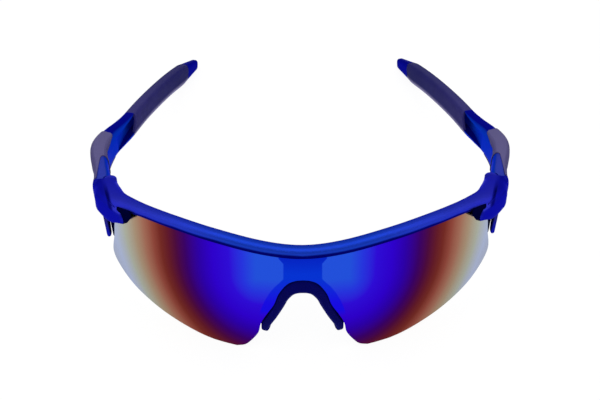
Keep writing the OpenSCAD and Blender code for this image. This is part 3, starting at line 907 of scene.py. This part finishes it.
def bracket_outline():
    top, low = front().nose_top / MM, (front().brow - front().bar / 2) / MM
    outer = smooth(
        [(8.9, low + 0.6), (7.1, low - 0.8), (6.3, low - 3.6), (6.3, top - 0.8), (9.2, top - 4.6),
         (11.8, top - 11.2), (13.4, top - 16.6), (13.9, top - 21.2)], 5)
    inner = smooth(
        [(13.2, 12), (12, 11.4), (11.1, 13), (9.2, top - 16.8), (7.6, top - 10.8), (5, top - 6.2),
         (3, top - 3.6), (0, top - 2.9)], 5)
    return [(0, low + 1.7), (8.9, low + 1.7)] + outer + inner


def pocket(node):
    """Room for a small black piece: a merged copy of it, a little larger."""
    take(frame["nodes"][node])
    bpy.ops.object.duplicate()
    obj = named("pocket")
    obj.parent = None
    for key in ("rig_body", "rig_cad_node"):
        if key in obj:
            del obj[key]
    bpy.ops.transform.resize(value=(1 / MM,) * 3, center_override=(0, 0, 0))
    bpy.ops.object.transform_apply(location=True, rotation=True, scale=True)
    closed(obj)
    bpy.ops.object.mode_set(mode="EDIT")
    bpy.ops.mesh.select_all(action="SELECT")
    bpy.ops.transform.shrink_fatten(value=SEAT, use_even_offset=True)
    bpy.ops.object.mode_set(mode="OBJECT")
    return obj


class OBJECT_OT_sunglasses_nose(bpy.types.Operator):
    """Model the soft nose pad"""

    bl_idname = "object.sunglasses_nose"
    bl_label = "Nose Pad"

    def execute(self, context):
        f = front()
        top, depth, band = f.nose_top / MM, f.pad_depth / MM, f.band / MM
        # Place across, drop from the top of the cut-out, and share of the band's width
        path = [
            (0, 2, 1.95), (3.7, 3.5, 1.6), (6.1, 7.2, 1.3), (7.5, 11.4, 1.12), (9.6, 16.6, 1.08),
            (11.6, 21, 1.05), (12, 23.2, 0.95),
        ]
        half = [station(lens_at(x, top - d, 0.4 - depth / 2), band * k, depth) for x, d, k in path]
        run = smooth(mirrored(half) + half, 6)
        run = list(reversed(dome(run, False, 1.6))) + run + dome(run, True, 1.6)
        pad = swept("nose_rubber", [leaned(run, i, depth) for i in range(len(run))], 0.28)
        moulded(pad, 0.22, 4)
        cut(pad, lens_room("slot"))
        cut(pad, bracket_plate("rib", SEAT))
        stuff = grip_rubber("navy_rubber", tuple(f.navy), colour(0, 0, 58), colour(20, 22, 112))
        settle(pad, stuff, "front", "nose_pad", angle=35)
        return {"FINISHED"}


class OBJECT_OT_sunglasses_arms(bpy.types.Operator):
    """Model both arms with their shoulder pads and ear socks"""

    bl_idname = "object.sunglasses_arms"
    bl_label = "Arms and Grips"

    def execute(self, context):
        a = arms()
        steps = 6
        run = smooth(arm_stations(), steps)
        # The sock's two ends, at the eighth and the last but one station, and the arm's end
        first, last, end = 7 * steps, 12 * steps, len(run) - 1
        capped = run + dome(run, True, 1.5)
        wall, proud = a.sock_wall / MM, a.proud / MM
        under = a.grip / MM - proud  # how deep the shoulder pad sits in the arm

        def nudged(i, inset, move):
            place, turn, size = seat(run, i, inset)
            return place + heading(run, i) * move, turn, size

        arm = swept(
            "right_arm_moulding",
            seats(run, 0, first)
            + seats(run, first, last, wall)
            + seats(run, last, end, SNUG)
            + seats(capped, end + 1, None, SNUG),
        )
        moulded(arm, 0.24, 4)
        cut(arm, block("end", (-200, HY - 60, -50), (200, HY + SEAM, 100)))
        for low, high in ((0, HZ - KNUCKLE_TOP), (HZ + KNUCKLE_TOP, 60)):
            cut(arm, rod("room", HX, HY, low, high, ROOM_R))
        recess = drawn("recess", [(x, y, 0) for x, y in grown(grip_outline(), SNUG)], (0, 0, 80))
        cut(recess, swept("core", seats(run, 0, first, under + SNUG)))
        cut(arm, recess)
        cut(arm, arm_hollow())
        knuckle = rod("knuckle", HX, HY, HZ - KNUCKLE_TOP, HZ + KNUCKLE_TOP, BARREL_R)
        web = [(-2.13, 0.1), (2.13, 0.1), (3.2, 1), (3.2, 6.5), (1.2, 6.5)]
        web = [(HX + x, HY + y, HZ - KNUCKLE_TOP) for x, y in web]
        combine(arm, knuckle, "UNION")
        combine(arm, drawn("web", web, (0, 0, 2 * KNUCKLE_TOP)), "UNION")
        cut(arm, rod("bore", HX, HY, 0, 100, BORE_R))

        pad = swept("right_shoulder_grip", seats(run, 0, first, -proud))
        cut(pad, swept("core", seats(run, 0, first, under)))
        zone = drawn("zone", [(x, y, 0) for x, y in grip_outline()], (0, 0, 80))
        combine(pad, zone, "INTERSECT")
        moulded(pad, 0.16, 3)

        sock = swept(
            "right_ear_grip",
            [nudged(first, 0, SNUG)] + seats(run, first + 1, last - 1) + [nudged(last, 0, -SNUG)],
        )
        inset = wall - SNUG
        core = [nudged(first, inset, -1)] + seats(run, first + 1, last - 1, inset) + [nudged(last, inset, 1)]
        cut(sock, swept("core", core))
        moulded(sock, 0.22, 3)

        blue = satin_blue("satin_arm", arm_colour)
        pale_lit_and_grain, near = tuple(a.pale_lit_and_grain), colour(50, 46, 112)
        soft = grip_rubber("shoulder_rubber", tuple(a.pad), colour(70, 66, 118), pale_lit_and_grain)
        dark = grip_rubber("sock_rubber", tuple(a.sock), colour(24, 22, 80), pale_lit_and_grain, near)
        for piece, what, stuff in (
            (arm, "arm", blue),
            (pad, "shoulder_pad", soft),
            (sock, "ear_sock", dark),
        ):
            other = twin(piece, piece.name.replace("right", "left"))
            settle(piece, stuff, "right_arm", "right_" + what, angle=35)
            settle(other, stuff, "left_arm", "left_" + what, angle=35)
        return {"FINISHED"}


def arm_hollow():
    """A shallow scoop for the arm's inner face: the edge of a wide drum, tilted as the arm is."""
    a = arms()
    run, depth, half_height = 24, 0.8, 3.06  # along the arm, into it and up and down
    radius = (run**2 / 4 + depth**2) / (2 * depth)
    shoulder = 6.8  # the arm's thickness there
    face = HX + ARM_OUT + 0.5 * a.bow / MM - 0.45 * shoulder
    hollow = take(rod("hollow", 0, 0, -half_height, half_height, radius))
    bpy.ops.transform.rotate(value=math.radians(11), orient_axis="X", center_override=(0, 0, 0))
    bpy.ops.transform.translate(value=(face + depth - radius, HY + 32, HZ - 3))
    bpy.ops.object.transform_apply(location=True, rotation=True, scale=True)
    return hollow


def grip_outline():
    """The shoulder pad in plan: it starts outside the neck's round tongue and ends behind the shoulder."""
    tx, ty, tr = HX + ARM_OUT, HY + 10.8, 1.5
    turns = [math.radians(q) for q in range(0, 181, 12)]
    tongue = [(tx + tr * math.cos(q), ty + tr * math.sin(q)) for q in turns]
    rest = [(-0.2, 14.2), (0.2, 16.8), (0, 27.2), (0.5, 28), (5, 30.4), (40, 31)]
    return [(tx + 40, HY + 0.8), (tx + tr, HY + 0.8)] + tongue + [(tx + x, HY + y) for x, y in rest]


class OBJECT_OT_sunglasses_fittings(bpy.types.Operator):
    """Finish the small black pieces, the hinge screws and the inserts"""

    bl_idname = "object.sunglasses_fittings"
    bl_label = "Small Fittings"

    def execute(self, context):
        stuff = {
            "claw_pad": moulded_black(),
            "lens_catch": moulded_black(),
            "hinge_screw": plated_steel(),
            "thread_insert": plain_brass(),
        }
        for what, material in stuff.items():
            for side in SIDES:
                obj = frame["nodes"][side + "_" + what]
                obj.data.materials.clear()
                obj.data.materials.append(material)
        return {"FINISHED"}


class OBJECT_OT_sunglasses_stage(bpy.types.Operator):
    """Set the table, the light and the camera"""

    bl_idname = "object.sunglasses_stage"
    bl_label = "Stage"

    def execute(self, context):
        scene = context.scene
        deselect()
        bpy.ops.mesh.primitive_plane_add(size=6)
        floor = named("table")
        f = Finish("white_table")
        speck = f.noise(40.0)
        f.set(Base_Color=f.blend(speck, (0.86, 0.86, 0.86), (0.84, 0.84, 0.84)), Roughness=0.7)
        glow = f.node("Emission", Color=(1, 1, 1, 1), Strength=1.06)
        path = f.node("LightPath")
        camera, through, glossy = (
            Value(f.tree, path.outputs[f"Is {kind} Ray"]) for kind in ("Camera", "Transmission", "Glossy")
        )
        seen = camera.math("MAXIMUM", through).math("MAXIMUM", glossy)
        mix = f.node("MixShader", Fac=seen * 0.86)
        f.tree.links.new(f.shader.outputs[0], mix.inputs[1])
        f.tree.links.new(glow.outputs[0], mix.inputs[2])
        f.tree.links.new(mix.outputs[0], f.out.inputs[0])
        floor.data.materials.append(f.material)

        world = bpy.data.worlds.new("studio")
        scene.world = world
        world.use_nodes = True
        tree = world.node_tree
        tree.nodes.clear()
        mix = tree.nodes.new("ShaderNodeMixShader")
        path = tree.nodes.new("ShaderNodeLightPath")
        out = tree.nodes.new("ShaderNodeOutputWorld")
        tree.links.new(path.outputs["Is Camera Ray"], mix.inputs[0])
        # The light that it gives, and the white that the camera sees
        for slot, strength in ((1, 0.5), (2, 1.0)):
            white = tree.nodes.new("ShaderNodeBackground")
            white.inputs["Color"].default_value = (1, 1, 1, 1)
            white.inputs["Strength"].default_value = strength
            tree.links.new(white.outputs[0], mix.inputs[slot])
        tree.links.new(mix.outputs[0], out.inputs[0])

        # The point that the camera and the lamps look at
        middle = Vector((0, FRONT_Y * MM + 0.0555, 0.02))
        for name, place, size, power in (
            ("above", (0.0, -0.15, 0.75), 0.9, 3.0),
            ("left", (-0.7, -0.35, 0.45), 0.6, 1.0),
            ("right", (0.7, -0.35, 0.45), 0.6, 1.0),
        ):
            lamp = bpy.data.lights.new(name, "AREA")
            lamp.size, lamp.energy = size, power
            obj = bpy.data.objects.new(name, lamp)
            scene.collection.objects.link(obj)
            obj.location = place
            obj.rotation_euler = (middle - Vector(place)).to_track_quat("-Z", "Y").to_euler()

        cam = bpy.data.cameras.new("camera")
        cam.sensor_width = 36
        cam.lens = cam.sensor_width * FOCAL / PICTURE_WIDTH
        cam.clip_start = 0.01
        eye = bpy.data.objects.new("camera", cam)
        scene.collection.objects.link(eye)
        up, turn = math.radians(ELEVATION), math.radians(TURN)
        way = Vector((math.sin(turn) * math.cos(up), -math.cos(turn) * math.cos(up), math.sin(up)))
        eye.location = middle + DISTANCE * way
        eye.rotation_euler = (middle - eye.location).to_track_quat("-Z", "Y").to_euler()
        cam.shift_x = -0.5 / PICTURE_WIDTH  # half a pixel
        scene.camera = eye
        scene.view_settings.view_transform = "Standard"
        return {"FINISHED"}


class VIEW3D_PT_sunglasses(bpy.types.Panel):
    bl_label = "Sunglasses"
    bl_idname = "VIEW3D_PT_sunglasses"
    bl_space_type = "VIEW_3D"
    bl_region_type = "UI"
    bl_category = "Sunglasses"

    def draw(self, context):
        layout = self.layout
        for group in (lens(), front(), arms()):
            column = layout.column(align=True)
            for key in group.__annotations__:
                column.prop(group, key)
        for op in OPERATORS:
            layout.operator(op.bl_idname)


OPERATORS = (
    OBJECT_OT_sunglasses_lens,
    OBJECT_OT_sunglasses_brow,
    OBJECT_OT_sunglasses_nose,
    OBJECT_OT_sunglasses_arms,
    OBJECT_OT_sunglasses_fittings,
    OBJECT_OT_sunglasses_stage,
)
CLASSES = (SunglassesLens, SunglassesFrame, SunglassesArms, *OPERATORS, VIEW3D_PT_sunglasses)


def register():
    for c in CLASSES:
        bpy.utils.register_class(c)
    bpy.types.Scene.sunglasses_lens = PointerProperty(type=SunglassesLens)
    bpy.types.Scene.sunglasses_frame = PointerProperty(type=SunglassesFrame)
    bpy.types.Scene.sunglasses_arms = PointerProperty(type=SunglassesArms)


def unregister():
    del bpy.types.Scene.sunglasses_arms
    del bpy.types.Scene.sunglasses_frame
    del bpy.types.Scene.sunglasses_lens
    for c in reversed(CLASSES):
        bpy.utils.unregister_class(c)


def main():
    register()
    bpy.ops.object.sunglasses_lens()
    bpy.ops.object.sunglasses_brow()
    bpy.ops.object.sunglasses_nose()
    bpy.ops.object.sunglasses_arms()
    bpy.ops.object.sunglasses_fittings()
    bpy.ops.object.sunglasses_stage()


if __name__ == "__main__":
    main()
